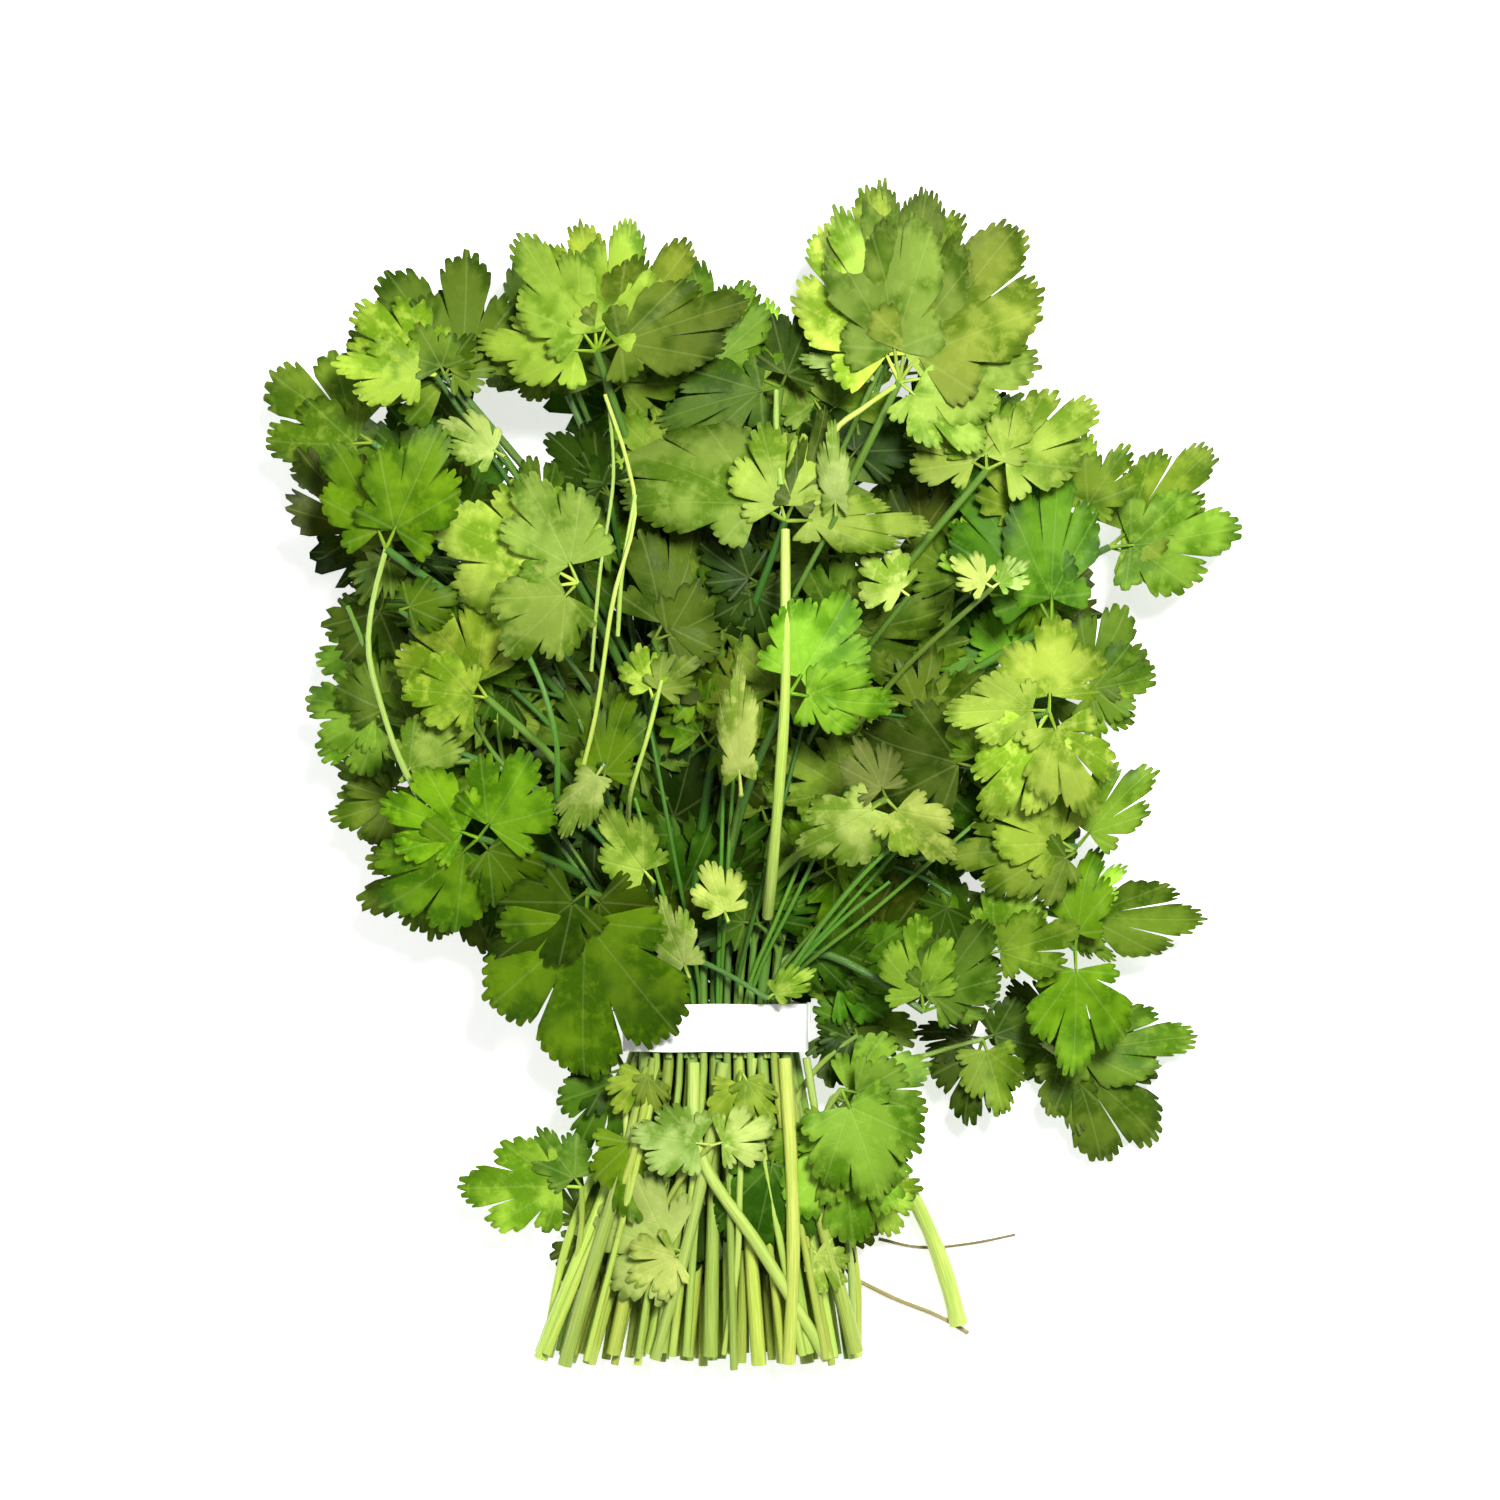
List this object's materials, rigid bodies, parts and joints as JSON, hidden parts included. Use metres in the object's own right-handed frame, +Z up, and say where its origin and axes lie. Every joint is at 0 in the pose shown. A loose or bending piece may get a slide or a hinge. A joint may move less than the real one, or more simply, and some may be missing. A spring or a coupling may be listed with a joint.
{
  "type": "coriander bunch",
  "caption": "Fresh coriander lying on its side: a fan of lobed leaves on slender stems, held near the cut ends by a white tie.",
  "frame": {"origin": "under the middle of the bunch's box, on the surface that the bunch lies on", "axes": "+Z up from the surface, +Y along the stems from the cut ends to the leaf tips, +X to the right with the leaves pointing away"},
  "size_m": [0.2264, 0.2736, 0.0653],
  "materials": {
    "stem": "satin, juicy yellow-green stem with faint lengthwise ribs",
    "leaf_light": "satin, light yellow-green leaf with toothed lobes and fine veins",
    "leaf_yellow": "satin, pale yellow-green young leaf",
    "leaf_mid": "satin, fresh mid-green leaf",
    "leaf_bright": "satin, saturated bright green leaf",
    "leaf_olive": "satin, older olive-green leaf",
    "leaf_deep": "satin, deep green leaf",
    "tie": "matt white paper-like strip"
  },
  "bodies": {
    "root": {"stem_crest_right": "stem", "leaf_crest_right": "leaf_light", "stem_top_left_fan": "stem", "leaf_top_left_fan": "leaf_light", "stem_inner_upper": "stem", "leaf_inner_upper": "leaf_mid", "stem_centre": "stem", "leaf_centre": "leaf_light", "stem_right_upper": "stem", "leaf_right_upper": "leaf_light", "stem_right_dark": "stem", "leaf_right_dark": "leaf_deep", "stem_right_outlier": "stem", "leaf_right_outlier": "leaf_olive", "stem_right_edge": "stem", "leaf_right_edge": "leaf_mid", "stem_right_light": "stem", "leaf_right_light": "leaf_light", "stem_right_fern": "stem", "leaf_right_fern": "leaf_mid", "stem_bottom_right": "stem", "leaf_bottom_right": "leaf_olive", "stem_right_mid": "stem", "leaf_right_mid": "leaf_mid", "stem_yellow_cluster": "stem", "leaf_yellow_cluster": "leaf_yellow", "stem_inner_bright": "stem", "leaf_inner_bright": "leaf_bright", "stem_left_round": "stem", "leaf_left_round": "leaf_light", "stem_left_bright": "stem", "leaf_left_bright": "leaf_bright", "stem_left_edge": "stem", "leaf_left_edge": "leaf_olive", "stem_top_left_olive": "stem", "leaf_top_left_olive": "leaf_olive", "stem_left_mid": "stem", "leaf_left_mid": "leaf_mid", "stem_left_side": "stem", "leaf_left_side": "leaf_mid", "stem_left_big": "stem", "leaf_left_big": "leaf_bright", "stem_low_left": "stem", "leaf_low_left": "leaf_bright", "stem_low_left_dark": "stem", "leaf_low_left_dark": "leaf_deep", "stem_under_left": "stem", "leaf_under_left": "leaf_deep", "stem_under_top": "stem", "leaf_under_top": "leaf_mid", "stem_under_right": "stem", "leaf_under_right": "leaf_mid", "stem_under_low_left": "stem", "leaf_under_low_left": "leaf_deep", "stem_under_low_right": "stem", "leaf_under_low_right": "leaf_deep", "leaf_below_left": "leaf_mid", "leaf_below_right": "leaf_mid", "stem_stray": "stem", "tie_band": "tie"}
  },
  "joints": []
}
